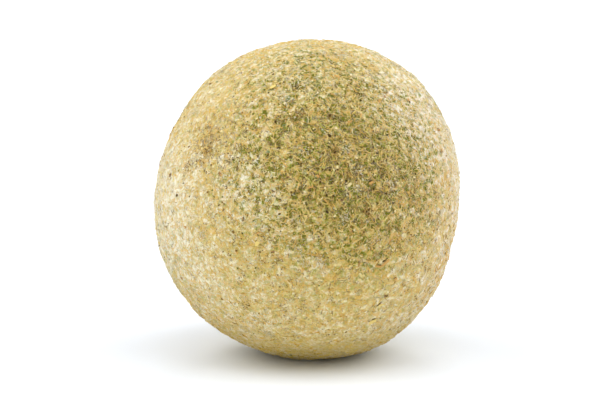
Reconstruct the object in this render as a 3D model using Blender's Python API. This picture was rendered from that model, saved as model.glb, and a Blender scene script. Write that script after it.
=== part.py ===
# A bael fruit as picked: one nearly round, woody-shelled fruit with a scurfy, corky rind and the scar of its
# stalk, lying on its side on a small flat spot. Metres, +Z up. The front, seen first, faces -Y.
# The fruit grew as one piece, so it is one solid: a ball whose radius is worked out for every direction.

import math
import random

import bmesh
import bpy
from mathutils import Matrix, Vector, noise

MM = 0.001

# The body
BODY_RADIUS = 38.4 * MM
FOOT_DROP = 39.0 * MM  # from the body's middle down to the surface that the fruit lies on
FACES_ALONG_EDGE = 22  # the ball starts as 20 large triangles, each split into this many along its edge
SNAP_DISTANCE = 0.02 * MM  # a vertex this near the foot's plane is taken as lying on it
SHORTEST_EDGE = 0.05 * MM
SHARP_ANGLE = math.radians(50)
# Each swelling or hollow: azimuth from the front towards +X, elevation, rise, and the angle that it spreads over
SWELLINGS = {
    "crown": (90, 89, 1.4 * MM, 24),
    "upper right shoulder": (90, 45, 1.9 * MM, 17),
    "right hollow": (90, -14, -1.4 * MM, 13),
    "lower right cheek": (90, -67, 2.1 * MM, 24),
    "lower left cheek": (-90, -48, 0.7 * MM, 19),
    "left hollow": (-90, 18, -1.1 * MM, 15),
    "front cheek": (20, 8, 0.8 * MM, 26),
    "front hollow": (-38, 30, -0.5 * MM, 15),
    "back hollow": (150, -28, -1.0 * MM, 20),
    "back shoulder": (160, 40, 0.8 * MM, 22),
}

# The round scar that the stalk left, on the back
SCAR_AZIMUTH = 205
SCAR_ELEVATION = 16
SCAR_SHOULDER_RADIUS = 11.0 * MM  # the rind sinks gently towards the scar from this far out
SCAR_SHOULDER_DEPTH = 1.0 * MM
SCAR_RIM_RADIUS = 5.2 * MM
SCAR_RIM_WIDTH = 1.1 * MM
SCAR_RIM_RISE = 0.7 * MM
SCAR_CUP_RADIUS = 3.9 * MM
SCAR_CUP_DEPTH = 1.7 * MM
SCAR_CUP_EDGE = 0.5 * MM  # how softly the cup's wall turns over
STUB_RADIUS = 1.9 * MM
STUB_RISE = 1.3 * MM
STUB_EDGE = 0.4 * MM
SCAR_CRUST_SHARE = 0.25  # how much of the crust is left inside the rim
SCAR_FINE_RADII = (10.0 * MM, 6.5 * MM)  # the faces inside each of these are halved once more

# The corky crust, larger than life: a raised net, a finer grain, and seeded nubs
NET_CELL = 6.4 * MM
NET_RISE = 0.75 * MM
NET_SINK = 0.26 * MM  # keeps the crust's mean level at the body's form
NET_LINE = 0.17  # a ridge's half width, in cells
NET_WANDER = 0.55  # how far the ridges stray, in cells
NET_WANDER_PACE = 1.3  # how often they turn, in turns to a cell
NET_SEED = 1795814104  # settles how the ridges wander, which would differ each time without it
NET_PATCH_SIZE = 14 * MM  # the net is stronger and weaker in patches of about this size
NET_STRENGTH = 0.7
NET_STRENGTH_SWING = 0.6
GRAIN_SIZE = 3.4 * MM
GRAIN_RISE = 0.25 * MM
NUB_COUNT = 420
NUB_RISE = (0.3 * MM, 0.8 * MM)
NUB_RADIUS = (0.8 * MM, 1.3 * MM)
NUB_REACH = math.radians(14)  # nothing is left of a nub beyond this angle from its middle
NUB_SEED = 11

RIND_COLOUR = (0.54, 0.42, 0.20, 1.0)
RIND_ROUGHNESS = 0.85


def facing(azimuth, elevation):
    turn, tilt = math.radians(azimuth), math.radians(elevation)
    return Vector((math.sin(turn) * math.cos(tilt), -math.cos(turn) * math.cos(tilt), math.sin(tilt)))


def bell(distance, spread):
    return math.exp(-0.5 * (distance / spread) ** 2)


def step_down(distance, edge, softness):
    """1 well inside the edge, 0 well outside it."""
    return 0.5 - 0.5 * math.tanh((distance - edge) / softness)


def form_radius(way):
    """The body's smooth form in this direction."""
    radius = BODY_RADIUS
    for azimuth, elevation, rise, spread in SWELLINGS.values():
        radius += rise * bell(way.angle(facing(azimuth, elevation)), math.radians(spread))
    return radius


def scar_relief(off):
    """Shoulder, rim, cup and broken woody stub, by the distance along the rind from the scar's middle."""
    shoulder = -SCAR_SHOULDER_DEPTH * bell(off, SCAR_SHOULDER_RADIUS / 2)
    rim = SCAR_RIM_RISE * bell(off - SCAR_RIM_RADIUS, SCAR_RIM_WIDTH)
    cup = -SCAR_CUP_DEPTH * step_down(off, SCAR_CUP_RADIUS, SCAR_CUP_EDGE)
    stub = STUB_RISE * step_down(off, STUB_RADIUS, STUB_EDGE)
    return shoulder + rim + cup + stub


def crust_relief(way):
    """A raised net of corky ridges round lower cells, and a finer grain over both."""
    place = way * (BODY_RADIUS / NET_CELL)
    place += noise.noise_vector(place * NET_WANDER_PACE) * NET_WANDER
    distances, _ = noise.voronoi(place)
    ridge = bell(distances[1] - distances[0], NET_LINE)
    strength = NET_STRENGTH + NET_STRENGTH_SWING * noise.noise(way * (BODY_RADIUS / NET_PATCH_SIZE))
    grain = noise.noise(way * (BODY_RADIUS / GRAIN_SIZE))
    return NET_RISE * strength * ridge - NET_SINK + GRAIN_RISE * grain


def seeded_nubs():
    """(direction, rise, radius) of each crumb of thicker cork, scattered evenly over the ball."""
    draw = random.Random(NUB_SEED)
    nubs = []
    for _ in range(NUB_COUNT):
        height = draw.uniform(-1, 1)
        turn = draw.uniform(0, 2 * math.pi)
        ring = math.sqrt(1 - height * height)
        way = Vector((ring * math.cos(turn), ring * math.sin(turn), height))
        nubs.append((way, draw.uniform(*NUB_RISE), draw.uniform(*NUB_RADIUS)))
    return nubs


def nub_relief(way, nubs):
    """Where nubs meet, the higher one counts."""
    near = math.cos(NUB_REACH)
    relief = 0.0
    for nub_way, rise, radius in nubs:
        if way.dot(nub_way) > near:
            relief = max(relief, rise * bell(way.angle(nub_way) * BODY_RADIUS, radius))
    return relief


def even_ball():
    """A ball of radius 1 with near-equal triangles, finer round the stalk's scar."""
    ball = bmesh.new()
    bmesh.ops.create_icosphere(ball, subdivisions=1, radius=1.0)
    bmesh.ops.subdivide_edges(ball, edges=ball.edges, cuts=FACES_ALONG_EDGE - 1, use_grid_fill=True)
    put_on_sphere(ball)
    scar = facing(SCAR_AZIMUTH, SCAR_ELEVATION)
    for fine_radius in SCAR_FINE_RADII:
        near = [
            edge
            for edge in ball.edges
            if all(end.co.angle(scar) * BODY_RADIUS < fine_radius for end in edge.verts)
        ]
        bmesh.ops.subdivide_edges(ball, edges=near, cuts=1, use_grid_fill=True)
        bmesh.ops.triangulate(ball, faces=ball.faces)
        put_on_sphere(ball)
    return ball


def put_on_sphere(ball):
    for vert in ball.verts:
        vert.co.normalize()


def shape_rind(ball):
    """Moves each vertex out to the rind: form, crust and nubs, with the crust fading out on the scar."""
    noise.seed_set(NET_SEED)
    scar = facing(SCAR_AZIMUTH, SCAR_ELEVATION)
    nubs = seeded_nubs()
    for vert in ball.verts:
        way = vert.co.copy()
        off = way.angle(scar) * BODY_RADIUS
        crust_share = 1 - (1 - SCAR_CRUST_SHARE) * step_down(off, SCAR_RIM_RADIUS, SCAR_RIM_WIDTH)
        radius = form_radius(way) + scar_relief(off)
        radius += crust_share * (crust_relief(way) + nub_relief(way, nubs))
        vert.co = way * radius


def cut_foot(ball):
    """Cuts the underside to the one flat spot that the fruit lies on."""
    geometry = ball.verts[:] + ball.edges[:] + ball.faces[:]
    cut = bmesh.ops.bisect_plane(
        ball,
        geom=geometry,
        dist=SNAP_DISTANCE,
        plane_co=(0, 0, -FOOT_DROP),
        plane_no=(0, 0, -1),
        clear_outer=True,
    )
    rim = [item for item in cut["geom_cut"] if isinstance(item, bmesh.types.BMEdge)]
    bmesh.ops.holes_fill(ball, edges=rim)
    bmesh.ops.dissolve_degenerate(ball, dist=SHORTEST_EDGE, edges=ball.edges)
    bmesh.ops.triangulate(ball, faces=ball.faces)
    bmesh.ops.recalc_face_normals(ball, faces=ball.faces)


def stand_on_origin(ball):
    """Puts the origin at the middle of the underside of the fruit's box."""
    low = Vector(min(vert.co[axis] for vert in ball.verts) for axis in range(3))
    high = Vector(max(vert.co[axis] for vert in ball.verts) for axis in range(3))
    middle = (low + high) / 2
    bmesh.ops.transform(ball, matrix=Matrix.Translation((-middle.x, -middle.y, -low.z)), verts=ball.verts)


def rind_material():
    material = bpy.data.materials.new("rind")
    material.use_nodes = True
    shader = material.node_tree.nodes["Principled BSDF"]
    shader.inputs["Base Color"].default_value = RIND_COLOUR
    shader.inputs["Roughness"].default_value = RIND_ROUGHNESS
    shader.inputs["Metallic"].default_value = 0.0
    return material


def build_fruit():
    ball = even_ball()
    shape_rind(ball)
    cut_foot(ball)
    stand_on_origin(ball)
    mesh = bpy.data.meshes.new("fruit")
    ball.to_mesh(mesh)
    ball.free()
    mesh.shade_smooth()
    mesh.set_sharp_from_angle(angle=SHARP_ANGLE)
    mesh.materials.append(rind_material())
    fruit = bpy.data.objects.new("fruit", mesh)
    bpy.context.scene.collection.objects.link(fruit)
    return fruit


def main():
    for old in list(bpy.data.objects):
        bpy.data.objects.remove(old)
    build_fruit()


if __name__ == "__main__":
    main()
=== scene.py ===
# Dresses the bael fruit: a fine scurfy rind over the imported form, curly threads of cork, flakes, crumbs and
# torn chips lying on it, and plain soft studio light.
import math

import bmesh
import bpy
import numpy as np
from mathutils import Matrix, Vector, noise
from mathutils.bvhtree import BVHTree


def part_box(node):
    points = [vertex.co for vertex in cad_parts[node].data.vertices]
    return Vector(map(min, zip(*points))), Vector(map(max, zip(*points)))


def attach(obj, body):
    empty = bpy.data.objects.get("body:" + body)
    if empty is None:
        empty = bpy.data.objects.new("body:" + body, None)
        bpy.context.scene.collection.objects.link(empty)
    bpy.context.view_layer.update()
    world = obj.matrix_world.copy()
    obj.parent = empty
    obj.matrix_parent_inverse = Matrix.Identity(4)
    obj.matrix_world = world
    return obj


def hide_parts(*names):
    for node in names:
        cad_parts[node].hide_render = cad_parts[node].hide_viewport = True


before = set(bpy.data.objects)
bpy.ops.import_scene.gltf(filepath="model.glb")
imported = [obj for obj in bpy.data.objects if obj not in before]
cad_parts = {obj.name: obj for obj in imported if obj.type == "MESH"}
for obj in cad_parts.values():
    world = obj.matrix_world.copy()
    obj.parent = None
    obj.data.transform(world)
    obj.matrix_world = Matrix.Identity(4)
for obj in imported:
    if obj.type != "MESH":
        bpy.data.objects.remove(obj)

mm = 0.001
noise.seed_set(1)      # noise_vector would take its offsets from the clock
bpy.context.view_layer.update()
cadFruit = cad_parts["fruit"]
lowCorner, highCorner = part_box("fruit")
middle = (lowCorner + highCorner) / 2


# Places on the fruit

view = {
    "elevation": 8,         # the camera's, in degrees
    "azimuth": 0,
    "radius": 39.5,         # of the fruit as the camera sees it, in mm
}


def towards(azimuth, elevation):      # unit vector; azimuth 0 is the front, 90 is +X
    turn, tilt = math.radians(azimuth), math.radians(elevation)
    return Vector((math.sin(turn) * math.cos(tilt), -math.cos(turn) * math.cos(tilt), math.sin(tilt)))


def seenAt(right, up):      # direction of the point that the camera sees this many mm right of and above the middle
    depth = math.sqrt(max(view["radius"] ** 2 - right ** 2 - up ** 2, 0.0))
    back = towards(view["azimuth"], view["elevation"])
    side = Vector((math.cos(math.radians(view["azimuth"])), math.sin(math.radians(view["azimuth"])), 0))
    return (back * depth + side * right + back.cross(side) * up).normalized()


def seenOn(tree, right, up):      # the same, but exact: where the camera's ray through that point meets the fruit
    back = towards(view["azimuth"], view["elevation"])
    side = Vector((math.cos(math.radians(view["azimuth"])), math.sin(math.radians(view["azimuth"])), 0))
    eye = middle + Vector(stage["aim"]) + back * stage["distance"]
    spot = middle + (side * right + back.cross(side) * up) * mm
    return (tree.ray_cast(eye, spot - eye)[0] - middle).normalized()


# Broad zones of the rind: where the middle is, how many mm the zone spreads over, how strong it is
zones = {
    "green": [
        (seenAt(10, 18), 15, 1.0), (seenAt(12, -2), 12, 0.85), (seenAt(0, 30), 11, 0.6), (seenAt(-10, 2), 10, 0.35),
        (seenAt(23, 5), 9, 0.65), (seenAt(-17, 6), 7, 0.12), (towards(120, 35), 15, 0.8), (towards(165, -10), 14, 0.6),
        (towards(235, 40), 13, 0.9), (towards(280, -25), 10, 0.4), (towards(215, -20), 9, 0.5),
    ],
    "pale": [
        # those at the left and right rims as the camera sees it, seenAt(39, 2), seenAt(37, -14), seenAt(34, 20),
        # seenAt(-36, -2) and seenAt(-35, -12), are partly pale cork and partly a painted highlight where the rind turns
        # away
        (seenAt(-36, -2), 12, 1.3), (seenAt(-25, 26), 13, 0.5), (seenAt(-14, -26), 13, 0.3), (seenAt(14, -32), 11, 0.4),
        (seenAt(34, 20), 9, 0.9), (seenAt(25, 30), 10, 1.2), (seenAt(-2, 38), 12, 0.35), (seenAt(39, 2), 7, 1.3),
        (seenAt(37, -14), 7, 1.0), (seenAt(-2, 28), 8, 0.85), (seenAt(20, 22), 7, 1.1), (seenAt(30, 10), 6, 0.8),
        (seenAt(-12, 0), 6, 0.95), (seenAt(-16, 9), 5, 0.5), (seenAt(-35, -12), 7, 0.8), (seenAt(-24, -20), 6, 0.4),
        (seenAt(2, -11), 5, 0.4), (towards(200, 55), 14, 0.6), (towards(150, -40), 16, 0.7),
        (towards(250, -5), 14, 0.8),
    ],
    "pink": [
        (seenAt(30, -24), 11, 0.9), (seenAt(34, 4), 9, 0.6), (seenAt(8, 36), 10, 0.6), (seenAt(12, -30), 9, 0.5),
        (towards(105, -10), 14, 0.8), (towards(190, -25), 13, 0.5), (towards(320, 60), 11, 0.5),
    ],
    "brown": [
        (seenAt(-25, 12), 5, 0.9), (seenAt(-24, 20), 5, 0.4), (seenAt(-9, 15), 7, 0.35), (seenAt(15, 26), 7, 0.6),
        (seenAt(17, 8), 7, 0.6), (seenAt(-14, -27), 4, 0.4), (seenAt(-15, -9), 6, 0.35), (seenAt(5, -2), 5, 0.4),
        # the first of these, straight below, is painted shade on the underside
        (towards(0, -78), 10, 0.5), (towards(140, 10), 7, 0.6), (towards(215, 42), 8, 0.5),
        (towards(268, 30), 6, 0.6), (towards(205, 16), 7, 0.6),
    ],
    "golden": [
        (seenAt(0, -26), 12, 0.7), (seenAt(-20, -14), 9, 0.4), (seenAt(14, -24), 9, 0.4),
        (towards(130, -30), 14, 0.8), (towards(170, 30), 12, 0.5),
        (towards(230, -15), 14, 0.8), (towards(290, 40), 12, 0.6),
    ],
    "ashen": [
        (seenAt(32, 3), 9, 1.0), (seenAt(36, -14), 8, 0.8), (seenAt(25, 20), 9, 0.7), (seenAt(24, -6), 6, 0.5),
        (towards(100, 20), 14, 0.8), (towards(200, -30), 14, 0.7), (towards(250, 20), 12, 0.6),
    ],
    "busy": [      # where dark bits gather
        (seenAt(4, 8), 17, 1.0), (seenAt(20, 4), 10, 0.5), (seenAt(-2, 30), 10, 0.25), (seenAt(-22, 10), 7, 0.4),
        (towards(120, 20), 18, 0.8), (towards(170, 10), 15, 0.7), (towards(235, 30), 16, 0.8),
        (towards(270, -20), 12, 0.5),
    ],
}


def zoneOf(name, directions):      # 0 to about 1 for each direction, a row of x, y, z
    total = np.zeros(len(directions))
    for centre, spread, strength in zones[name]:
        apart = np.arccos(np.clip(directions @ np.array(centre), -1, 1)) * view["radius"]
        total += strength * np.exp(-0.5 * (apart / spread) ** 2)
    return np.clip(total, 0, 1.2)


def undersideShadeOf(directions):      # where shade is painted on the underside: 1 on the underside, 0 from a little way up
    return np.clip((-directions[:, 2] - 0.7) / 0.26, 0, 1)


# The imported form, softened, as something to cast rays at

form = {
    "smoothPasses": 90,
    "smoothing": (0.5, -0.52),      # each pass pulls in and pushes back out, so that the form doesn't shrink
    "footHeight": 0.4 * mm,         # nothing below this height is softened
    "scar": (205, 16),              # azimuth and elevation of the stalk's scar
    "scarKept": math.radians(13),   # nor is anything this near the scar
}
scarWay = towards(*form["scar"])
scarSideways = scarWay.cross(Vector((0, 0, 1))).normalized()
scarAxes = (scarSideways, scarWay.cross(scarSideways))


def softenedForm():
    shape = bmesh.new()
    shape.from_mesh(cadFruit.data)
    bmesh.ops.remove_doubles(shape, verts=shape.verts, dist=0.001 * mm)
    soft = [
        vert for vert in shape.verts
        if vert.co.z > form["footHeight"] and (vert.co - middle).angle(scarWay) > form["scarKept"]
    ]
    for _ in range(form["smoothPasses"]):
        for factor in form["smoothing"]:
            bmesh.ops.smooth_vert(
                shape, verts=soft, factor=factor, use_axis_x=True, use_axis_y=True, use_axis_z=True
            )
    tree = BVHTree.FromBMesh(shape)
    shape.free()
    return tree


# The rind

rind = {
    "cuts": 128,             # the ball starts as a cube with this many cuts along each edge
    "netCell": 2.1,          # mm
    "netWander": 0.5,        # how far the net strays, in cells
    "netLine": 0.16,         # half width of a ridge, in cells
    "netRise": 0.17,         # mm
    "plateRise": 0.16,       # mm, how much the cells differ in height
    "lumpSize": 5.0,         # mm
    "lumpRise": 0.16,
    "grainSize": 0.95,
    "grainRise": 0.09,
    "pitCell": 3.1,          # mm, about one pit to each cell that has one
    "pitShare": 0.33,
    "pitSize": 0.42,
    "pitDepth": 0.38,
    "greenSink": 0.08,
    # small places where the green skin shows through: seen right, seen up and radius, in mm
    "bare": [
        (0.2, 32.2, 0.6), (1.5, 25.8, 0.55), (-4.6, 25.1, 0.5), (2.6, 19.7, 0.65), (-0.1, 19.4, 0.5), (-4.8, 19.1, 0.55),
        (-5.5, 17.8, 0.6), (-0.7, 18.1, 0.6), (9.9, 15.0, 0.6), (7.2, 16.2, 0.45), (2.2, 12.3, 0.75), (-0.5, 12.6, 0.5),
        (-9.9, 11.2, 0.45), (15.0, 8.7, 0.55), (8.6, 7.3, 0.5), (10.5, 6.9, 0.6), (-1.2, 9.2, 0.5), (4.4, 9.8, 0.45),
        (-3.0, 5.7, 0.45), (-3.3, 31.7, 0.5), (9.2, 29.4, 0.5), (-7.1, 18.6, 0.5), (12.5, 19.4, 0.5), (6.4, 14.1, 0.5),
        (4.6, 2.2, 0.65), (10.6, 2.3, 0.5), (15.5, 4.4, 0.5), (10.6, -0.5, 0.5), (12.4, -1.3, 0.6), (12.5, -4.0, 0.45),
        (6.5, -7.2, 0.65), (7.9, -7.3, 0.65), (13.6, -9.8, 0.4), (-3.6, 10.9, 0.4), (-13.1, 14.1, 0.4),
        (22.6, 8.1, 0.45), (24.3, 11.9, 0.4), (-11.4, 24.4, 0.45), (-1.8, 22.4, 0.4), (3.7, 23.4, 0.4),
    ],
    "bareElsewhere": 150,
}


def bareSpots(tree, ways):      # how bare the rind is in each direction
    centres = [seenOn(tree, right, up)[:] for right, up, _ in rind["bare"]]
    radii = [radius for _, _, radius in rind["bare"]]
    draw = np.random.default_rng(81)
    greener = scattered(rind["bareElsewhere"], 82, lambda at: zoneOf("green", at) * (at[:, 1] > -0.35))
    bare = np.zeros(len(ways))
    for centre, radius in zip(centres + list(greener), radii + list(draw.uniform(0.35, 0.7, len(greener)))):
        apart = np.arccos(np.clip(ways @ np.array(centre), -1, 1)) * view["radius"]
        bare = np.maximum(bare, np.exp(-0.5 * (apart / radius) ** 2))
    return bare


def roundedCube():      # returns the bmesh of a cube, and its vertices' places on the cube
    ball = bmesh.new()
    bmesh.ops.create_cube(ball, size=2.0)
    bmesh.ops.subdivide_edges(ball, edges=ball.edges, cuts=rind["cuts"], use_grid_fill=True)
    onCube = np.array([vert.co[:] for vert in ball.verts])
    return ball, onCube


def crustOf(places):      # relief in mm and the masks that the paint reads, for each place in mm
    net, plate, lump, grain, pit = (np.zeros(len(places)) for _ in range(5))
    for i, at in enumerate(places):
        spot = Vector(at)
        stray = noise.noise_vector(spot / 1.6) * rind["netWander"]
        near, centres = noise.voronoi(spot / rind["netCell"] + stray)
        net[i] = math.exp(-0.5 * ((near[1] - near[0]) / rind["netLine"]) ** 2)
        plate[i] = noise.cell(centres[0] * 9.7)
        lump[i] = noise.noise(spot / rind["lumpSize"])
        grain[i] = noise.noise(spot / rind["grainSize"]) + 0.5 * noise.noise(spot / rind["grainSize"] * 2.1)
        pitNear, pitCentres = noise.voronoi(spot / rind["pitCell"] + stray * 0.2)
        if noise.cell(pitCentres[0] * 5.3) < rind["pitShare"]:
            pit[i] = math.exp(-0.5 * (pitNear[0] * rind["pitCell"] / rind["pitSize"]) ** 2)
    return net, plate, lump, grain, pit


def tileMap(mesh, onCube):      # each side of the cube gets its own tile, three across and two up
    corners = np.empty(len(mesh.loops), np.int32)
    mesh.loops.foreach_get("vertex_index", corners)
    starts = np.arange(0, len(corners), 4)
    centres = onCube[corners].reshape(-1, 4, 3).mean(1)
    axis = np.abs(centres).argmax(1)
    high = centres[np.arange(len(starts)), axis] > 0
    across, up = (axis + 1) % 3, (axis + 2) % 3
    margin = 0.985
    uv = np.empty((len(corners), 2))
    for corner in range(4):
        place = onCube[corners[starts + corner]]
        rows = np.arange(len(starts))
        uv[starts + corner, 0] = (axis + 0.5 + place[rows, across] * 0.5 * margin) / 3
        uv[starts + corner, 1] = (high + 0.5 + place[rows, up] * 0.5 * margin) / 2
    layer = mesh.uv_layers.new(name="OFBake")
    layer.uv.foreach_set("vector", uv.astype(np.float32).ravel())


def keepValues(mesh, values):      # per point, for the paint to read
    for name, numbers in values.items():
        layer = mesh.attributes.new(name=name, type="FLOAT", domain="POINT")
        layer.data.foreach_set("value", np.asarray(numbers, np.float32))


def makeRind(tree):
    ball, onCube = roundedCube()
    ways = np.tan(onCube * math.pi / 4)
    ways /= np.linalg.norm(ways, axis=1, keepdims=True)
    onForm = np.array([tree.ray_cast(middle, Vector(way))[0][:] for way in ways])
    net, plate, lump, grain, pit = crustOf(onForm / mm)
    green, pale = zoneOf("green", ways), zoneOf("pale", ways)
    fromScar = np.arccos(np.clip(ways @ np.array(scarWay), -1, 1)) * view["radius"]
    onScar = 0.5 - 0.5 * np.tanh((fromScar - 5.4) / 0.7)
    side, rise = ways @ np.array(scarAxes[0]), ways @ np.array(scarAxes[1])
    spread = np.hypot(side, rise) + 1e-6
    busy = zoneOf("busy", ways)
    pit *= np.clip(0.12 + busy, 0, 1)
    hollow = (1 - net) * (1 - plate)
    relief = rind["netRise"] * net + rind["plateRise"] * (plate - 0.5) + rind["lumpRise"] * lump
    relief += rind["grainRise"] * grain - rind["pitDepth"] * pit - rind["greenSink"] * green * hollow
    relief *= 1 - 0.7 * onScar
    places = onForm + ways * relief[:, None] * mm
    foot = onForm[:, 2] < 0.02 * mm
    places[foot, 2] = 0
    places[:, 2] = np.maximum(places[:, 2], 0)
    for vert, place in zip(ball.verts, places):
        vert.co = place
    mesh = bpy.data.meshes.new("rind")
    ball.to_mesh(mesh)
    ball.free()
    mesh.shade_smooth()
    tileMap(mesh, onCube)
    keepValues(mesh, {
        "net": net, "hollow": hollow, "pit": pit, "green": green, "pale": pale,
        "pink": zoneOf("pink", ways), "brown": zoneOf("brown", ways), "busy": busy,
        "golden": zoneOf("golden", ways), "ashen": zoneOf("ashen", ways), "low": undersideShadeOf(ways), "bare": bareSpots(tree, ways),
        "fromScar": fromScar, "scarSide": side / spread, "scarRise": rise / spread,
    })
    piece = bpy.data.objects.new("rind", mesh)
    bpy.context.scene.collection.objects.link(piece)
    return piece


# Paint

class Value:      # wraps a socket, so that shader maths reads as plain expressions
    def __init__(self, paint, socket):
        self.paint = paint
        self.socket = socket

    def maths(self, operation, first, second):
        return self.paint.node("ShaderNodeMath", {"operation": operation}, {0: first, 1: second})

    def __add__(self, other):
        return self.maths("ADD", self, other)

    def __sub__(self, other):
        return self.maths("SUBTRACT", self, other)

    def __rsub__(self, other):
        return self.maths("SUBTRACT", other, self)

    def __mul__(self, other):
        return self.maths("MULTIPLY", self, other)

    __radd__ = __add__
    __rmul__ = __mul__


class Paint:      # one material and the nodes in it
    def __init__(self, name, roughness, sheen=0.0):
        self.material = bpy.data.materials.new(name)
        self.material.use_nodes = True
        self.tree = self.material.node_tree
        self.shader = self.tree.nodes["Principled BSDF"]
        self.shader.inputs["Roughness"].default_value = roughness
        self.shader.inputs["Specular IOR Level"].default_value = 0.25
        self.shader.inputs["Sheen Weight"].default_value = sheen
        self.shader.inputs["Sheen Roughness"].default_value = 0.35
        self.shader.inputs["Sheen Tint"].default_value = (1.0, 0.96, 0.88, 1.0)
        self.place = self.node("ShaderNodeTexCoord", {}, {}, "Object")

    def node(self, kind, settings, values, output=0):
        made = self.tree.nodes.new(kind)
        for name, setting in settings.items():
            setattr(made, name, setting)
        for name, value in values.items():
            self.feed(made.inputs[name], value)
        return Value(self, made.outputs[output])

    def feed(self, socket, value):
        if isinstance(value, Value):
            self.tree.links.new(value.socket, socket)
        else:
            socket.default_value = value

    def noise(self, size, detail=2.0, roughness=0.5, at=None, output="Fac"):      # size in mm
        values = {"Vector": at or self.place, "Scale": 1 / (size * mm), "Detail": detail, "Roughness": roughness}
        return self.node("ShaderNodeTexNoise", {}, values, output)

    def cells(self, size, at=None, feature="F1", output="Distance"):
        values = {"Vector": at or self.place, "Scale": 1 / (size * mm)}
        return self.node("ShaderNodeTexVoronoi", {"feature": feature}, values, output)

    def moved(self, by, at=None):      # the same place, shifted by this many mm, to draw another noise
        values = {0: at or self.place, 1: tuple(step * mm for step in by)}
        return self.node("ShaderNodeVectorMath", {"operation": "ADD"}, values)

    def strayed(self, size, reach, at=None):      # the place, wandering by up to about reach mm
        cloud = self.noise(size, 2.0, 0.5, at, "Color")
        centred = self.node("ShaderNodeVectorMath", {"operation": "SUBTRACT"}, {0: cloud, 1: (0.5, 0.5, 0.5)})
        stray = self.node("ShaderNodeVectorMath", {"operation": "SCALE"}, {0: centred, "Scale": 2 * reach * mm})
        return self.node("ShaderNodeVectorMath", {"operation": "ADD"}, {0: at or self.place, 1: stray})

    def kept(self, name):      # a value kept on the mesh
        return self.node("ShaderNodeAttribute", {"attribute_name": name}, {}, "Fac")

    def fade(self, value, low, high, least=0.0, most=1.0):
        values = {"Value": value, "From Min": low, "From Max": high, "To Min": least, "To Max": most}
        return self.node("ShaderNodeMapRange", {"interpolation_type": "SMOOTHSTEP"}, values)

    def size(self, value):
        return self.node("ShaderNodeMath", {"operation": "ABSOLUTE"}, {0: value})

    def mix(self, amount, under, over):
        return self.node("ShaderNodeMix", {"data_type": "RGBA"}, {0: amount, 6: colour(under), 7: colour(over)}, 2)

    def tinted(self, amount, ground, tint):      # the ground's colour times the tint
        values = {0: amount, 6: ground, 7: colour(tint)}
        return self.node("ShaderNodeMix", {"data_type": "RGBA", "blend_type": "MULTIPLY"}, values, 2)

    def lines(self, size, width, at):      # curly lines, where a noise passes its middle value
        return 1 - self.fade(self.size(self.noise(size, 1.0, 0.5, at) - 0.5), width * 0.45, width)

    def finish(self, base, height=None, depth=0.1):      # depth in mm
        self.feed(self.shader.inputs["Base Color"], base)
        if height:
            bump = self.node("ShaderNodeBump", {}, {"Height": height, "Distance": depth * mm, "Strength": 1.0})
            self.feed(self.shader.inputs["Normal"], bump)
        return self.material


def colour(value):
    return value if isinstance(value, Value) else (*value, 1.0)


rindPaint = {
    "straw": (0.56, 0.43, 0.11),
    "tan": (0.58, 0.39, 0.085),
    "cream": (0.74, 0.62, 0.265),
    "white": (0.86, 0.81, 0.64),
    "khaki": (0.40, 0.33, 0.09),
    "gold": (1.0, 0.95, 0.66),      # a tint, where the cork is yellower
    "ash": (1.0, 0.99, 1.25),       # a tint, where it is greyer
    "pink": (0.64, 0.46, 0.24),
    "mint": (0.62, 0.60, 0.30),
    "peach": (0.72, 0.50, 0.24),
    "olive": (0.15, 0.155, 0.008),
    "leaf": (0.32, 0.315, 0.03),
    "fresh": (0.20, 0.23, 0.015),
    "teal": (0.16, 0.21, 0.10),
    "thread": (0.68, 0.42, 0.10),
    "brown": (0.20, 0.12, 0.025),
    "umber": (0.10, 0.062, 0.009),
    "dark": (0.06, 0.036, 0.006),
    # painted shade: the underside is darkened to this brown where it turns to the floor
    "under": (0.52, 0.36, 0.02),
    "wood": (0.52, 0.37, 0.17),
    "rim": (0.64, 0.49, 0.24),
    "roughness": 0.9,
    "sheen": 0.6,            # the dusty surface looks paler where it turns away
}


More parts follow.
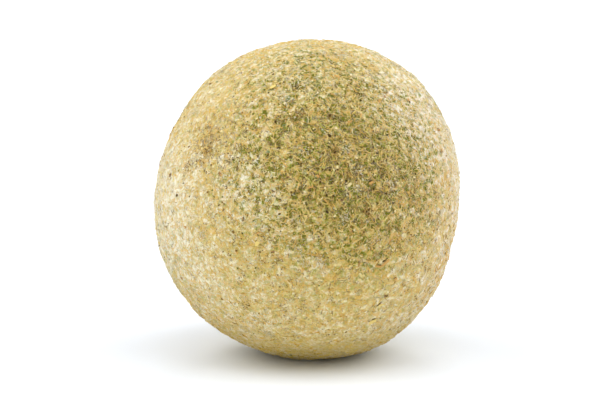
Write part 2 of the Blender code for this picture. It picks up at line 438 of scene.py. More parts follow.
def paintRind():
    look = rindPaint
    paint = Paint("rind", look["roughness"], look["sheen"])
    net, hollow, pit = paint.kept("net"), paint.kept("hollow"), paint.kept("pit")
    green, pale, pink, brown = (paint.kept(name) for name in ("green", "pale", "pink", "brown"))
    busy, bare, low, golden = (paint.kept(name) for name in ("busy", "bare", "low", "golden"))
    curly = paint.strayed(1.3, 0.45)
    cloud = paint.noise(4.5, 2.0, 0.6)
    mottle = paint.noise(1.5, 2.0, 0.5, paint.moved((3, 14, 9)))
    scurf = paint.noise(0.9, 3.0, 0.55, curly)
    speckle = paint.noise(0.34, 2.0, 0.6, paint.moved((31, 7, 3)))
    fleck = paint.cells(0.65, curly, "F1", "Color")
    fleckTone = paint.node("ShaderNodeSeparateColor", {}, {0: fleck}, 0)

    ground = paint.mix(paint.fade(cloud, 0.35, 0.65), look["straw"], look["tan"])
    ground = paint.mix(pink * 0.8, ground, look["pink"])
    tint = paint.noise(2.4, 2.0, 0.6, paint.moved((6, 1, 12)))
    ground = paint.mix(paint.fade(tint, 0.5, 0.62) * 0.55, ground, look["mint"])
    ground = paint.mix(paint.fade(tint, 0.36, 0.48, 0.5, 0.0), ground, look["peach"])
    ground = paint.mix(paint.fade(fleckTone + pale * 0.4, 0.35, 1.0), ground, look["cream"])
    ground = paint.mix(paint.fade(pale, 0.4, 1.2, 0.0, 0.7), ground, look["white"])
    ground = paint.mix(paint.fade(mottle + pale * 0.07, 0.5, 0.63) * (pale * 0.2 + 0.5), ground, look["white"])
    blotch = paint.noise(3.2, 2.0, 0.5, paint.moved((17, 5, 8)))
    ground = paint.mix(paint.fade(blotch, 0.5, 0.6) * (0.6 - busy * 0.4), ground, look["white"])
    patch = paint.noise(2.4, 2.0, 0.5, paint.moved((2, 23, 15)))
    ground = paint.mix(paint.fade(patch, 0.5, 0.6) * (0.5 - busy * 0.35), ground, look["khaki"])

    leafy = paint.noise(1.5, 2.0, 0.55, paint.moved((5, 19, 40), curly))
    greenish = paint.fade(leafy + green * 0.13 + hollow * 0.1, 0.5, 0.68)
    ground = paint.mix(greenish * paint.fade(green, 0.02, 0.6, 0.3, 0.9), ground, look["leaf"])
    deep = paint.fade(leafy + green * 0.12 + hollow * 0.1, 0.64, 0.7)
    ground = paint.mix(deep * paint.fade(green, 0.1, 0.7), ground, look["olive"])

    skin = paint.fade(bare + (scurf - 0.5) * 1.3, 0.35, 0.7)
    fresh = paint.mix(paint.fade(tint, 0.52, 0.6), look["fresh"], look["teal"])
    ground = paint.mix(skin * 0.85, ground, fresh)

    white = paint.fade(scurf + pale * 0.08 - green * 0.02, 0.58, 0.68)
    ground = paint.mix(white * (0.7 - green * 0.15), ground, look["white"])

    smudge = paint.fade(paint.noise(1.1, 3.0, 0.7, paint.moved((9, 2, 6))) + brown * 0.22, 0.6, 0.75)
    ground = paint.mix(smudge * paint.fade(brown, 0.0, 0.8, 0.15, 0.75), ground, look["brown"])

    thread = paint.lines(1.5, 0.05, curly)
    fine = paint.lines(0.9, 0.06, paint.moved((13, 4, 21), curly))
    broken = paint.fade(paint.noise(2.2, 1.0, 0.5, paint.moved((1, 2, 3))), 0.42, 0.55)
    curls = paint.node("ShaderNodeMath", {"operation": "MAXIMUM"}, {0: thread, 1: fine * broken * 0.7})
    ground = paint.mix(curls * (0.75 - busy * 0.15), ground, look["thread"])

    # dark brown cracks, sunk by the bump: partly the cork's own dark lines and partly painted shade in the cracks
    crack = paint.lines(1.1, 0.035, paint.moved((7, 7, 30), curly))
    torn = paint.fade(paint.noise(1.7, 1.0, 0.5, paint.moved((4, 6, 2))) + green * 0.05 - pale * 0.04, 0.5, 0.6)
    shadedCracks = crack * torn
    ground = paint.mix(shadedCracks * 0.8, ground, look["brown"])
    dotted = paint.noise(0.55, 1.0, 0.5, paint.moved((2, 8, 5), curly)) + torn * 0.04 + (busy - 0.69) * 0.11
    dots = paint.fade(dotted, 0.67, 0.73)
    ground = paint.mix(dots * (busy * 0.5 + 0.4), ground, look["umber"])
    # painted shade: the sunken pits are painted nearly black
    pitShade = paint.fade(pit + speckle * 0.25, 0.6, 0.85)
    ground = paint.mix(pitShade, ground, look["dark"])
    ground = paint.mix(paint.fade(speckle, 0.3, 0.55, 0.2, 0.0) * (0.3 + busy * 0.7), ground, look["brown"])
    ground = paint.tinted(golden * 0.6, ground, look["gold"])
    ground = paint.tinted(paint.kept("ashen") * 0.6, ground, look["ash"])
    # painted shade on the underside
    ground = paint.mix(low * 0.75, ground, look["under"])
    ground, spokes = paintScar(paint, ground)

    height = scurf * 0.8 + fleckTone * 0.5 + curls * 0.9 + speckle * 0.7 - dots * 0.9 - shadedCracks * 0.9 - pitShade * 0.8
    return paint.finish(ground, height * (0.5 + busy * 0.5) - spokes, 0.16)


def paintScar(paint, ground):      # returns the colour, and how deep the cracks are that run out from the stub
    look = rindPaint
    out = paint.kept("fromScar")
    turned = {0: paint.kept("scarSide") * (5 * mm), 1: paint.kept("scarRise") * (5 * mm), 2: out * (0.35 * mm)}
    spoke = paint.noise(0.9, 2.0, 0.5, paint.node("ShaderNodeCombineXYZ", {}, turned))
    grain = paint.noise(0.5, 3.0, 0.6)
    edge = out + (grain - 0.5) * 0.9
    crack = paint.fade(spoke, 0.56, 0.64) * paint.fade(out, 7.5, 9.5, 1.0, 0.0)
    ground = paint.mix(paint.fade(edge, 5.0, 8.5, 0.55, 0.0), ground, look["brown"])
    ground = paint.mix(paint.fade(edge, 3.9, 4.6) * paint.fade(edge, 5.6, 6.6, 0.85, 0.0), ground, look["rim"])
    ground = paint.mix(crack * 0.75, ground, look["umber"])
    ground = paint.mix(paint.fade(edge, 3.7, 4.3, 0.9, 0.0), ground, look["umber"])
    wood = paint.mix(paint.fade(spoke + (grain - 0.5) * 0.5, 0.42, 0.58), look["wood"], look["brown"])
    ground = paint.mix(paint.fade(edge, 1.7, 2.2, 1.0, 0.0), ground, wood)
    return ground, crack * 1.2


def dress(piece, material):
    piece.data.materials.clear()
    piece.data.materials.append(material)
    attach(piece, "root")


# Small pieces, each many copies of one template laid on the rind

def meshOf(shape):      # a bmesh made into a mesh
    mesh = bpy.data.meshes.new("template")
    shape.to_mesh(mesh)
    shape.free()
    return mesh


def placesOf(mesh):
    places = np.empty(len(mesh.vertices) * 3, np.float32)
    mesh.vertices.foreach_get("co", places)
    return places.reshape(-1, 3).astype(float)


def scattered(count, seed, share):      # directions, kept with the chance that share gives them
    draw = np.random.default_rng(seed)
    kept = np.empty((0, 3))
    while len(kept) < count:
        ways = draw.normal(size=(count, 3))
        ways /= np.linalg.norm(ways, axis=1, keepdims=True)
        high = draw.random(count) < share(ways)
        clear = (ways @ np.array(scarWay) < math.cos(math.radians(6))) & (ways[:, 2] > -0.975)
        kept = np.concatenate([kept, ways[high & clear]])
    return kept[:count]


def onRind(ways):      # the rind's surface in these directions
    return np.array([rindTree.ray_cast(middle, Vector(way))[0][:] for way in ways])


def unit(rows):
    return rows / np.linalg.norm(rows, axis=-1, keepdims=True)


def axesAt(ways, draw, tilt, along=None):      # per copy: along, across and up, tilted up by up to tilt
    along = unit(np.cross(ways, unit(draw.normal(size=ways.shape)))) if along is None else along
    lean = draw.uniform(0, tilt, len(ways))[:, None]
    across = np.cross(ways, along)
    return unit(along * np.cos(lean) + ways * np.sin(lean)), across, unit(ways * np.cos(lean) - along * np.sin(lean))


def laid(name, template, ways, axes, halves, ragged, lift, draw, tones=None):      # halves: half sizes, in mm
    shape = placesOf(template)
    places = onRind(ways)[:, None] + axes[2][:, None] * lift * mm
    for i in range(3):
        places = places + axes[i][:, None] * (shape[None, :, i] * halves[:, i, None] * ragged * mm)[:, :, None]
    return copiesOf(name, template, places, lookAt(ways, draw, tones))


def lookAt(ways, draw, tones=None):      # what the paint of a small piece reads
    zonal = {key: zoneOf(key, ways) for key in ("green", "pale", "golden", "ashen", "busy")}
    return {"tone": draw.random(len(ways)) if tones is None else tones, "low": undersideShadeOf(ways), **zonal}


def copiesOf(name, template, places, values):      # places has a row of points for each copy
    count, points = places.shape[:2]
    crowd = bmesh.new()
    for _ in range(count):
        crowd.from_mesh(template)
    mesh = bpy.data.meshes.new(name)
    crowd.to_mesh(mesh)
    crowd.free()
    mesh.vertices.foreach_set("co", places.reshape(-1).astype(np.float32))
    mesh.update()
    keepValues(mesh, {key: np.repeat(numbers, points) for key, numbers in values.items()})
    crowdTiles(mesh, template, count)
    piece = bpy.data.objects.new(name, mesh)
    bpy.context.scene.collection.objects.link(piece)
    return piece


def crowdTiles(mesh, template, count):      # each copy's faces lie in a tile of its own on the map
    corners = len(template.loops)
    flat = np.empty(corners * 2, np.float32)
    template.uv_layers[0].uv.foreach_get("vector", flat)
    flat = flat.reshape(-1, 2) * 0.92 + 0.04
    across = math.ceil(math.sqrt(count))
    tile = np.stack([np.arange(count) % across, np.arange(count) // across], 1)
    uv = (tile[:, None, :] + flat[None]) / across
    layer = mesh.uv_layers.get("OFBake") or mesh.uv_layers.new(name="OFBake")
    layer.uv.foreach_set("vector", uv.reshape(-1).astype(np.float32))


def gridMap(mesh):      # a template's faces, side by side on its map, so that none is left without room
    layer = mesh.uv_layers.new(name="OFBake")
    wide = math.ceil(math.sqrt(len(mesh.polygons)))
    for face in mesh.polygons:
        left, low = face.index % wide, face.index // wide
        for turn, corner in enumerate(face.loop_indices):
            angle = 2 * math.pi * (turn + 0.5) / face.loop_total
            layer.uv[corner].vector = ((left + 0.5 + 0.48 * math.cos(angle)) / wide,
                                       (low + 0.5 + 0.48 * math.sin(angle)) / wide)


# Threads: thin curly ridges of cork

threads = {
    "fine": {"count": 8000, "seed": 5, "steps": 3, "length": (0.7, 1.7), "width": (0.13, 0.24),
             "rise": (0.08, 0.16), "bend": 1.3, "upright": 0.8},
    "coarse": {"count": 7200, "seed": 6, "steps": 4, "length": (1.0, 2.6), "width": (0.2, 0.34),
               "rise": (0.1, 0.24), "bend": 0.8, "upright": 1.0},
}


def threadTemplate(steps):      # a three-sided bar along X from 0 to 1, with one edge on top
    bar = bmesh.new()
    end = bmesh.ops.create_circle(bar, cap_ends=True, segments=3, radius=1.0)["verts"]
    bmesh.ops.rotate(bar, verts=end, cent=(0, 0, 0), matrix=Matrix.Rotation(math.radians(120), 3, (1, 1, 1)))
    face = bar.faces[:]
    for _ in range(steps):
        grown = bmesh.ops.extrude_face_region(bar, geom=face)["geom"]
        face = [item for item in grown if isinstance(item, bmesh.types.BMFace)]
        moved = [item for item in grown if isinstance(item, bmesh.types.BMVert)]
        bmesh.ops.translate(bar, verts=moved, vec=(1 / steps, 0, 0))
    closed(bar)
    mesh = meshOf(bar)
    gridMap(mesh)
    return mesh


def closed(shape):      # leaves no face inside, closes what is open, and turns every face outwards
    inner = [face for face in shape.faces if all(len(edge.link_faces) > 2 for edge in face.edges)]
    bmesh.ops.delete(shape, geom=inner, context="FACES_ONLY")
    bmesh.ops.holes_fill(shape, edges=shape.edges)
    bmesh.ops.recalc_face_normals(shape, faces=shape.faces)


def makeThreads(name, look, share):
    draw = np.random.default_rng(look["seed"])
    count, steps = look["count"], look["steps"]
    ways = scattered(count, look["seed"] + 100, share)
    values = lookAt(ways, draw)
    template = threadTemplate(steps)
    shape = placesOf(template)
    ring = np.rint(shape[:, 0] * steps).astype(int)
    heading = unit(np.cross(ways, unit(draw.normal(size=ways.shape))))
    upward = unit(np.array([0, 0, 1]) - ways * ways[:, 2:])
    heading = unit(heading + upward * np.sign((heading * upward).sum(1, keepdims=True)) * look["upright"])
    step = draw.uniform(*look["length"], count) * mm / steps
    bend = draw.normal(0, look["bend"], count) * step / mm      # radians a step
    path, tops, sides = [], [], []
    for _ in range(steps + 1):
        surface = onRind(ways)
        path.append(surface)
        tops.append(ways)
        sides.append(np.cross(ways, heading))
        turn = (bend + draw.normal(0, 0.35, count))[:, None]
        heading = unit(heading * np.cos(turn) + sides[-1] * np.sin(turn))
        ways = unit(surface + heading * step[:, None] - np.array(middle))
        heading = unit(heading - ways * (heading * ways).sum(1, keepdims=True))
    path, tops, sides = (np.stack(rows, 1)[:, ring] for rows in (path, tops, sides))
    taper = np.sin(np.pi * (0.1 + 0.8 * ring / steps))[None] * draw.uniform(0.65, 1.2, (count, steps + 1))[:, ring]
    wide = draw.uniform(*look["width"], count)[:, None] / 1.73 * taper
    high = draw.uniform(*look["rise"], count)[:, None] * taper
    places = path + sides * (shape[None, :, 1] * wide * mm)[:, :, None]
    places += tops * ((shape[None, :, 2] + 0.35) / 1.35 * high * mm)[:, :, None]
    return copiesOf(name, template, places, values)


threadPaint = {
    "brown": (0.27, 0.165, 0.035),
    "orange": (0.67, 0.41, 0.10),
    "straw": (0.69, 0.53, 0.17),
    "cream": (0.79, 0.69, 0.38),
    "gold": (1.0, 0.95, 0.66),      # a tint, where the cork is yellower
    "ash": (1.0, 0.99, 1.25),       # a tint, where it is greyer
    # painted shade: the underside is darkened to this brown
    "under": (0.52, 0.36, 0.02),
    "roughness": 0.85,
    "sheen": 0.6,
}


def paintThreads():
    look = threadPaint
    paint = Paint("thread", look["roughness"], look["sheen"])
    tone, pale = paint.kept("tone"), paint.kept("pale")
    shade = tone + pale * 0.45 + (paint.noise(0.6, 2.0) - 0.5) * 0.9
    ground = paint.mix(paint.fade(shade, 0.1, 0.3), look["brown"], look["orange"])
    ground = paint.mix(paint.fade(shade, 0.4, 0.65), ground, look["straw"])
    ground = paint.mix(paint.fade(shade, 0.85, 1.25), ground, look["cream"])
    ground = paint.tinted(paint.kept("golden") * 0.6, ground, look["gold"])
    ground = paint.tinted(paint.kept("ashen") * 0.6, ground, look["ash"])
    # painted shade on the underside
    ground = paint.mix(paint.kept("low") * 0.75, ground, look["under"])
    return paint.finish(ground, paint.noise(0.3, 2.0), 0.06)


# Flakes of thin scurf, rounder crumbs, and dark specks

flakes = {"count": 6500, "seed": 21, "radius": (0.16, 0.46), "thick": 0.05, "tilt": 0.45, "lift": 0.03}
crumbs = {"count": 3400, "seed": 31, "radius": (0.08, 0.19), "tilt": 0.6, "lift": 0.03,
          "large": [(20.3, -35.2, 0.55), (17.8, -36.3, 0.5), (15.2, -37.6, 0.5)]}      # seen right, seen up, radius
specks = {
    "count": 2400, "seed": 41, "radius": (0.1, 0.34), "height": 0.14, "spotHeight": 0.24, "tilt": 0.1,
    # seen right, seen up and radius, in mm, of the ones that stand out
    "spots": [
        (5.5, 15.4, 0.62), (-1.5, 8.4, 0.36), (7.1, 11.3, 0.45), (6.5, 4.0, 0.28), (6.4, 0.2, 0.34), (4.9, 0.5, 0.4),
        (16.7, 2.1, 0.3), (19.8, 0.9, 0.4), (14.1, -3.5, 0.36), (15.5, -3.1, 0.42), (15.5, -4.1, 0.42),
        (14.9, -3.6, 0.32), (9.0, -3.2, 0.26), (11.0, -7.5, 0.4), (2.9, -9.9, 0.34), (-4.1, 1.3, 0.3),
        (-3.9, 0.5, 0.3), (-3.0, 1.7, 0.24), (-1.1, 1.1, 0.3), (-7.0, -4.2, 0.36), (13.5, 24.3, 0.36),
        (27.1, 5.9, 0.34), (5.7, 20.5, 0.44), (6.7, 19.7, 0.42), (8.0, 18.9, 0.34), (-32.7, 0.5, 0.42),
        (-25.0, 1.3, 0.36), (-21.1, -3.3, 0.36), (-22.1, -1.9, 0.34), (-18.6, -8.7, 0.4), (-17.1, -8.7, 0.3),
        (-9.5, -8.3, 0.38), (-19.3, -14.6, 0.28), (-22.0, 14.4, 0.34), (-19.8, 11.0, 0.3), (-18.6, 9.4, 0.34),
        (9.7, -33.8, 0.38), (-14.6, -27.1, 0.36), (25.7, 23.9, 0.32), (-2.9, 27.8, 0.38), (5.8, 26.0, 0.3),
        (6.3, 27.1, 0.3), (13.0, 26.0, 0.34), (-0.1, 11.7, 0.3), (-7.0, 23.3, 0.26), (-8.2, 23.2, 0.26),
        (-9.9, 15.0, 0.3), (-8.0, 19.0, 0.36), (10.2, 28.1, 0.28), (-16.5, 8.6, 0.26), (5.7, 6.8, 0.34),
        (-7.7, 28.2, 0.26), (-14.2, 8.4, 0.24), (9.6, 33.0, 0.3), (-4.1, -39.6, 0.5),
    ],
}
granules = {
    "seed": 71, "each": 50, "spread": 0.9, "radius": (0.07, 0.16), "tilt": 0.5, "lift": 0.12,
    # middles of the patches of fine granules, seen right and seen up
    "pale": [(13.5, 6.4), (13.0, 2.3), (21.3, 1.8), (17.5, -10.5), (9.5, -4.9), (-1.8, -13.2), (3.2, -16.2)],
    "brown": [
        (7.1, 11.2), (15.3, -3.4), (6.7, 19.8), (-15.6, -26.6), (-25.0, 11.9), (-30.0, 7.6), (19.8, 0.8), (-2.9, 27.4),
    ],
    "elsewhere": 60,
}


def flakeTemplate(sides):      # a thin plate
    plate = bmesh.new()
    bmesh.ops.create_circle(plate, cap_ends=True, segments=sides, radius=1.0)
    grown = bmesh.ops.extrude_face_region(plate, geom=plate.faces[:])["geom"]
    moved = [item for item in grown if isinstance(item, bmesh.types.BMVert)]
    bmesh.ops.translate(plate, verts=moved, vec=(0, 0, 1))
    closed(plate)
    mesh = meshOf(plate)
    gridMap(mesh)
    return mesh


def raggedEdge(shape, sides, count, draw):      # the same for the lower and upper point of each corner
    turn = np.arctan2(shape[:, 1], shape[:, 0]) / (2 * math.pi / sides)
    corner = np.floor(turn + 0.25).astype(int) % sides
    return draw.uniform(0.5, 1.25, (count, sides))[:, corner]


def makeFlakes(share):
    draw = np.random.default_rng(flakes["seed"])
    count = flakes["count"]
    ways = scattered(count, flakes["seed"] + 100, share)
    template = flakeTemplate(6)
    size = draw.uniform(*flakes["radius"], count)
    halves = np.stack([size, size * draw.uniform(0.5, 1.0, count), np.full(count, flakes["thick"])], 1)
    ragged = raggedEdge(placesOf(template), 6, count, draw)
    return laid("flakes", template, ways, axesAt(ways, draw, flakes["tilt"]), halves, ragged, flakes["lift"], draw)


def crumbTemplate():
    lump = bmesh.new()
    bmesh.ops.create_icosphere(lump, subdivisions=1, radius=1.0)
    mesh = meshOf(lump)
    gridMap(mesh)
    return mesh


def makeCrumbs(share):
    draw = np.random.default_rng(crumbs["seed"])
    large = crumbs["large"]
    ways = scattered(crumbs["count"], crumbs["seed"] + 100, share)
    ways = np.concatenate([ways, [seenOn(rindTree, right, up)[:] for right, up, _ in large]])
    size = np.append(draw.uniform(*crumbs["radius"], crumbs["count"]), [radius for _, _, radius in large])
    template = crumbTemplate()
    count = len(ways)
    halves = np.stack([size, size * draw.uniform(0.5, 1.0, count), size * draw.uniform(0.4, 0.8, count)], 1)
    ragged = draw.uniform(0.75, 1.2, (count, len(template.vertices)))
    return laid("crumbs", template, ways, axesAt(ways, draw, crumbs["tilt"]), halves, ragged, crumbs["lift"], draw)


def makeSpecks(share):
    draw = np.random.default_rng(specks["seed"])
    spots = specks["spots"]
    ways = scattered(specks["count"], specks["seed"] + 100, share)
    ways = np.concatenate([ways, [seenOn(rindTree, right, up)[:] for right, up, _ in spots]])
    small = specks["radius"][0] + np.ptp(specks["radius"]) * draw.random(specks["count"]) ** 2
    size = np.append(small, [radius for _, _, radius in spots])
    template = crumbTemplate()
    count = len(ways)
    high = np.append(np.full(specks["count"], specks["height"]), np.full(len(spots), specks["spotHeight"]))
    halves = np.stack([size, size * draw.uniform(0.45, 1.0, count), high], 1)
    ragged = draw.uniform(0.7, 1.25, (count, len(template.vertices)))
    tones = np.append(draw.random(specks["count"]), draw.uniform(0.0, 0.45, len(spots) - 1))
    tones = np.append(tones, 0.95)      # the last one, at the bottom edge, is olive
    return laid("specks", template, ways, axesAt(ways, draw, specks["tilt"]), halves, ragged, 0.0, draw, tones)


def makeGranules():      # small patches of pale or brown grains
    draw = np.random.default_rng(granules["seed"])
    patches = granules["pale"] + granules["brown"]
    centres = [seenOn(rindTree, right, up)[:] for right, up in patches]
    loose = scattered(granules["elsewhere"], granules["seed"] + 100, lambda ways: 0.2 + 0.8 * zoneOf("busy", ways))
    centres = np.concatenate([centres, loose])
    tints = np.array([1.0] * len(granules["pale"]) + [0.0] * len(granules["brown"]))
    tints = np.append(tints, draw.random(len(loose)) > 0.15 + 0.5 * zoneOf("busy", loose))
    count = len(centres) * granules["each"]
    stray = draw.normal(0, granules["spread"] / view["radius"], (count, 3))
    ways = unit(np.repeat(centres, granules["each"], 0) + stray)
    size = draw.uniform(*granules["radius"], count)
    template = crumbTemplate()
    halves = np.stack([size, size * draw.uniform(0.6, 1.0, count), size * draw.uniform(0.5, 0.9, count)], 1)
    ragged = draw.uniform(0.75, 1.2, (count, len(template.vertices)))
    tones = np.repeat(tints, granules["each"]) * 0.6 + draw.random(count) * 0.4
    axes = axesAt(ways, draw, granules["tilt"])
    return laid("granules", template, ways, axes, halves, ragged, granules["lift"], draw, tones)


scurfPaint = {
    "brown": (0.26, 0.165, 0.045),
    "tan": (0.58, 0.43, 0.14),
    "green": (0.36, 0.36, 0.07),
    "cream": (0.74, 0.62, 0.30),
    "white": (0.83, 0.77, 0.58),
    "gold": (1.0, 0.95, 0.66),      # a tint, where the cork is yellower
    "ash": (1.0, 0.99, 1.25),       # a tint, where it is greyer
    # painted shade: the underside is darkened to this brown
    "under": (0.52, 0.36, 0.02),
    "roughness": 0.9,
    "sheen": 0.6,
}


def paintScurf():
    look = scurfPaint
    paint = Paint("scurf", look["roughness"], look["sheen"])
    tone, pale, green = paint.kept("tone"), paint.kept("pale"), paint.kept("green")
    shade = tone + pale * 0.3 + (paint.noise(0.5, 2.0) - 0.5) * 0.6
    ground = paint.mix(paint.fade(shade, 0.05, 0.2), look["brown"], look["tan"])
    ground = paint.mix(paint.fade(shade, 0.35, 0.7), ground, look["cream"])
    ground = paint.mix(paint.fade(shade, 1.0, 1.35), ground, look["white"])
    ground = paint.mix(green * paint.fade(tone, 0.4, 0.7, 0.6, 0.0), ground, look["green"])
    ground = paint.tinted(paint.kept("golden") * 0.6, ground, look["gold"])
    ground = paint.tinted(paint.kept("ashen") * 0.6, ground, look["ash"])
    # painted shade on the underside
    ground = paint.mix(paint.kept("low") * 0.75, ground, look["under"])
    return paint.finish(ground, paint.noise(0.25, 2.0), 0.05)


granulePaint = {
    "dark": (0.09, 0.055, 0.012),
    "brown": (0.30, 0.18, 0.055),
    "ash": (0.58, 0.52, 0.34),
    "white": (0.78, 0.74, 0.58),
    "roughness": 0.9,
}


def paintGranules():
    look = granulePaint
    paint = Paint("granule", look["roughness"])
    tone = paint.kept("tone")
    dark = paint.fade(tone + (1 - paint.kept("busy")) * 0.2, 0.08, 0.3)
    ground = paint.mix(dark, look["dark"], look["brown"])
    ground = paint.mix(paint.fade(tone, 0.4, 0.7), ground, look["ash"])
    ground = paint.mix(paint.fade(tone, 0.75, 1.0), ground, look["white"])
    return paint.finish(ground, paint.noise(0.2, 2.0), 0.04)


speckPaint = {
    "dark": (0.065, 0.037, 0.006),
    "brown": (0.21, 0.115, 0.02),
    "tan": (0.40, 0.27, 0.09),
    "olive": (0.14, 0.15, 0.015),
    "roughness": 0.85,
}


def paintSpecks():
    look = speckPaint
    # this paint also serves the painted shadows under the chips
    paint = Paint("speck_and_chip_shadow", look["roughness"])
    tone, green = paint.kept("tone"), paint.kept("green")
    shade = tone + (1 - paint.kept("busy")) * 0.4
    ground = paint.mix(paint.fade(shade, 0.2, 0.6), look["dark"], look["brown"])
    ground = paint.mix(paint.fade(shade, 0.8, 1.3, 0.0, 0.6), ground, look["tan"])
    ground = paint.mix(paint.fade(tone + green * 0.2, 0.8, 0.9), ground, look["olive"])
    return paint.finish(ground, paint.noise(0.25, 2.0), 0.05)


# Torn chips: larger flakes that stand up at one end, with painted shadow under them: a dark strip laid under the raised
# side of each

chips = {
    "seed": 51,
    "thick": 0.12,
    "lift": 0.05,
    "tilt": 0.35,
    # seen right and up, half length, half width, angle to the right in degrees, tone from brown to yellow
    "seen": [
        (16.4, -31.2, 1.3, 0.75, 15, 1.0), (18.3, -27.1, 1.2, 0.62, 55, 0.92), (-12.5, -11.5, 0.75, 0.45, 60, 0.95),
        (10.4, 18.9, 0.9, 0.22, 20, 0.55), (18.0, 24.1, 0.6, 0.34, 70, 0.5), (25.3, 24.4, 0.55, 0.36, 100, 0.6),
        (-8.6, 27.7, 0.8, 0.45, 20, 0.95), (7.5, 30.3, 0.9, 0.3, 5, 0.7), (19.8, -16.3, 1.2, 0.6, 25, 0.55),
        (18.0, -17.3, 0.8, 0.4, -20, 0.5), (22.1, -20.5, 0.5, 0.3, 0, 0.6), (-12.3, -9.0, 0.5, 0.25, 30, 0.6),
        (-0.3, -4.7, 0.55, 0.3, 0, 0.8), (15.9, 3.6, 0.7, 0.4, 10, 0.55),
    ],
    "scattered": 40,
    "scatteredTone": (0.05, 0.5),
    "scales": 30,         # the dry scales round the stalk's scar
    "scaleRing": (5.4, 8.2),
    "scaleTone": (0.1, 0.6),
}


def makeChips():
    draw = np.random.default_rng(chips["seed"])
    seen = np.array(chips["seen"])
    right, lift = np.array(seenAt(1, 0)) - np.array(seenAt(0, 0)), np.array(seenAt(0, 1)) - np.array(seenAt(0, 0))
    ways = np.array([seenOn(rindTree, *row[:2])[:] for row in seen])
    angles = np.radians(seen[:, 4])[:, None]
    along = unit(right) * np.cos(angles) + unit(lift) * np.sin(angles)
    loose = scattered(chips["scattered"], chips["seed"] + 100, lambda ways: 0.2 + 0.8 * zoneOf("busy", ways))
    looseAlong = np.cross(loose, unit(draw.normal(size=loose.shape)))
    turn = draw.uniform(0, 2 * math.pi, chips["scales"])[:, None]
    out = draw.uniform(*chips["scaleRing"], chips["scales"])[:, None] / view["radius"]
    ring = np.array(scarAxes[0]) * np.cos(turn) + np.array(scarAxes[1]) * np.sin(turn)
    scales = unit(np.array(scarWay) + ring * out)
    count = chips["scattered"] + chips["scales"]
    ways = np.concatenate([ways, loose, scales])
    along = np.concatenate([along, looseAlong, -ring])
    along = unit(along - ways * (along * ways).sum(1, keepdims=True))
    length = np.append(seen[:, 2], draw.uniform(0.35, 0.9, count))
    width = np.append(seen[:, 3], draw.uniform(0.2, 0.45, count))
    halves = np.stack([length, width, np.full(len(ways), chips["thick"])], 1)
    template = flakeTemplate(8)
    ragged = raggedEdge(placesOf(template), 8, len(ways), draw)
    piece = laid("chips", template, ways, axesAt(ways, draw, chips["tilt"], along), halves, ragged, chips["lift"], draw)
    looseTones = draw.uniform(*chips["scatteredTone"], chips["scattered"])
    tones = np.concatenate([seen[:, 5], looseTones, draw.uniform(*chips["scaleTone"], chips["scales"])])
    keepValues(piece.data, {"tint": np.repeat(tones, len(template.vertices))})
    # painted shadow: a thin dark strip on the rind under each chip's raised side
    halves = np.stack([length * 0.9, width * 0.5, np.full(len(ways), 0.08)], 1)
    chipShadowShape = crumbTemplate()
    ragged = draw.uniform(0.8, 1.2, (len(ways), len(chipShadowShape.vertices)))
    across = np.cross(ways, along)
    under = unit(ways + across * (width * 0.95 / view["radius"])[:, None])
    laidShadows = laid("chip_shadows", chipShadowShape, under, axesAt(under, draw, 0, along), halves, ragged, 0.0, draw, np.zeros(len(ways)))
    return piece, laidShadows


chipPaint = {"brown": (0.22, 0.12, 0.05), "orange": (0.58, 0.32, 0.09), "yellow": (0.80, 0.62, 0.20), "roughness": 0.75}


def paintChips():
    look = chipPaint
    paint = Paint("chip", look["roughness"])
    tint = paint.kept("tint") + (paint.noise(0.5, 2.0) - 0.5) * 0.5
    ground = paint.mix(paint.fade(tint, 0.1, 0.5), look["brown"], look["orange"])
    ground = paint.mix(paint.fade(tint, 0.65, 0.95), ground, look["yellow"])
    return paint.finish(ground, paint.noise(0.3, 2.0), 0.06)


# Stage, light and camera

stage = {
    "floorReach": 6.0,           # from the fruit to each side and to the front
    "sweepStart": 5.0,           # where the floor starts to curve up behind the fruit
    "sweepRadius": 3.0,
    "wallHeight": 2.0,
    "floorColour": (0.85, 0.89, 0.95),
    "worldStrength": 0.0,
    "lens": 100,
    "distance": 0.427,
    "aim": (-0.3 * mm, 0, -1.7 * mm),         # where the camera looks, from the fruit's middle
}
# Each large soft light: where it stands as azimuth and elevation, how wide it is seen, in degrees, and its strength
lights = {
    "front": {"stands": (0, 14), "wide": 50, "strength": 0.85},
    "left": {"stands": (-96, 34), "wide": 60, "strength": 1.48},
    "right": {"stands": (104, 26), "wide": 60, "strength": 1.42},
    "over left": {"stands": (-60, 60), "wide": 60, "strength": 1.28},
    "over right": {"stands": (60, 60), "wide": 60, "strength": 1.68},
    "behind": {"stands": (180, 38), "wide": 24, "strength": 0.5},
}


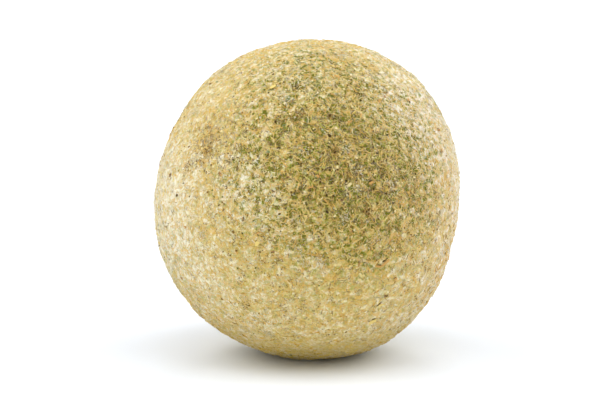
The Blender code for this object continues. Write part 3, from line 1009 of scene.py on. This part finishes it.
def makeStage():      # a floor that curves up into a wall, so that no horizon shows
    reach = stage["floorReach"]
    sweep = bmesh.new()
    ends = [sweep.verts.new((side, -reach, 0)) for side in (-reach, reach)]
    edge = sweep.edges.new(ends)
    out = bmesh.ops.extrude_edge_only(sweep, edges=[edge])["geom"]
    back = [item for item in out if isinstance(item, bmesh.types.BMVert)]
    bmesh.ops.translate(sweep, verts=back, vec=(0, reach + stage["sweepStart"], 0))
    lip = [item for item in out if isinstance(item, bmesh.types.BMEdge) and set(item.verts) == set(back)]
    curve = bmesh.ops.spin(
        sweep, geom=lip, cent=(0, stage["sweepStart"], stage["sweepRadius"]), axis=(1, 0, 0),
        angle=math.pi / 2, steps=32, use_merge=False
    )["geom_last"]
    lip = [item for item in curve if isinstance(item, bmesh.types.BMEdge)]
    out = bmesh.ops.extrude_edge_only(sweep, edges=lip)["geom"]
    top = [item for item in out if isinstance(item, bmesh.types.BMVert)]
    bmesh.ops.translate(sweep, verts=top, vec=(0, 0, stage["wallHeight"]))
    mesh = bpy.data.meshes.new("floor")
    sweep.to_mesh(mesh)
    sweep.free()
    mesh.shade_smooth()
    floor = bpy.data.objects.new("floor", mesh)
    bpy.context.scene.collection.objects.link(floor)
    paint = Paint("floor", 0.6)
    mesh.materials.append(paint.finish((*stage["floorColour"], 1.0)))
    world = bpy.data.worlds.new("studio")
    bpy.context.scene.world = world
    world.use_nodes = True
    sky = world.node_tree.nodes["Background"]
    sky.inputs["Color"].default_value = (1.0, 1.0, 1.0, 1.0)
    sky.inputs["Strength"].default_value = stage["worldStrength"]


def makeLights():
    for name, lamp in lights.items():
        light = bpy.data.lights.new(name, "SUN")
        light.angle = math.radians(lamp["wide"])
        light.energy = lamp["strength"]
        holder = bpy.data.objects.new(name, light)
        bpy.context.scene.collection.objects.link(holder)
        holder.rotation_euler = towards(*lamp["stands"]).to_track_quat("Z", "Y").to_euler()


def makeCamera():
    camera = bpy.data.cameras.new("camera")
    camera.lens = stage["lens"]
    camera.sensor_width = 36
    holder = bpy.data.objects.new("camera", camera)
    bpy.context.scene.collection.objects.link(holder)
    back = towards(view["azimuth"], view["elevation"])
    target = middle + Vector(stage["aim"])
    holder.location = target + back * stage["distance"]
    holder.rotation_euler = back.to_track_quat("Z", "Y").to_euler()
    bpy.context.scene.camera = holder


print("stage, light and camera")
makeStage()
makeLights()
makeCamera()
bpy.context.scene.view_settings.view_transform = "Standard"

print("rind")
rindPiece = makeRind(softenedForm())
dress(rindPiece, paintRind())
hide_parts("fruit")
rindTree = BVHTree.FromObject(rindPiece, bpy.context.evaluated_depsgraph_get())


def threadShare(ways):      # fewer threads show where the rind is pale
    return np.clip(0.55 + 0.45 * zoneOf("green", ways) - 0.3 * zoneOf("pale", ways), 0, 1)


def scurfShare(ways):
    return np.clip(0.7 + 0.3 * zoneOf("pale", ways) - 0.15 * zoneOf("green", ways), 0, 1)


print("threads")
threadMaterial = paintThreads()
for kind, look in threads.items():
    dress(makeThreads("threads_" + kind, look, threadShare), threadMaterial)

print("flakes and crumbs")
scurfMaterial = paintScurf()
dress(makeFlakes(scurfShare), scurfMaterial)
dress(makeCrumbs(scurfShare), scurfMaterial)


def speckShare(ways):      # specks gather in clumps
    clumps = np.array([noise.noise(Vector(way) * 9) for way in ways])
    zonal = 0.04 + 0.8 * zoneOf("busy", ways) + 0.3 * zoneOf("brown", ways) - 0.1 * zoneOf("pale", ways)
    return np.clip(zonal * (0.5 + 2.2 * clumps), 0, 1)


print("specks and chips")
speckAndShadowMaterial = paintSpecks()
dress(makeSpecks(speckShare), speckAndShadowMaterial)
dress(makeGranules(), paintGranules())
chipPiece, chipShadowPiece = makeChips()
dress(chipPiece, paintChips())
# the painted shadows under the chips take the specks' dark paint
dress(chipShadowPiece, speckAndShadowMaterial)
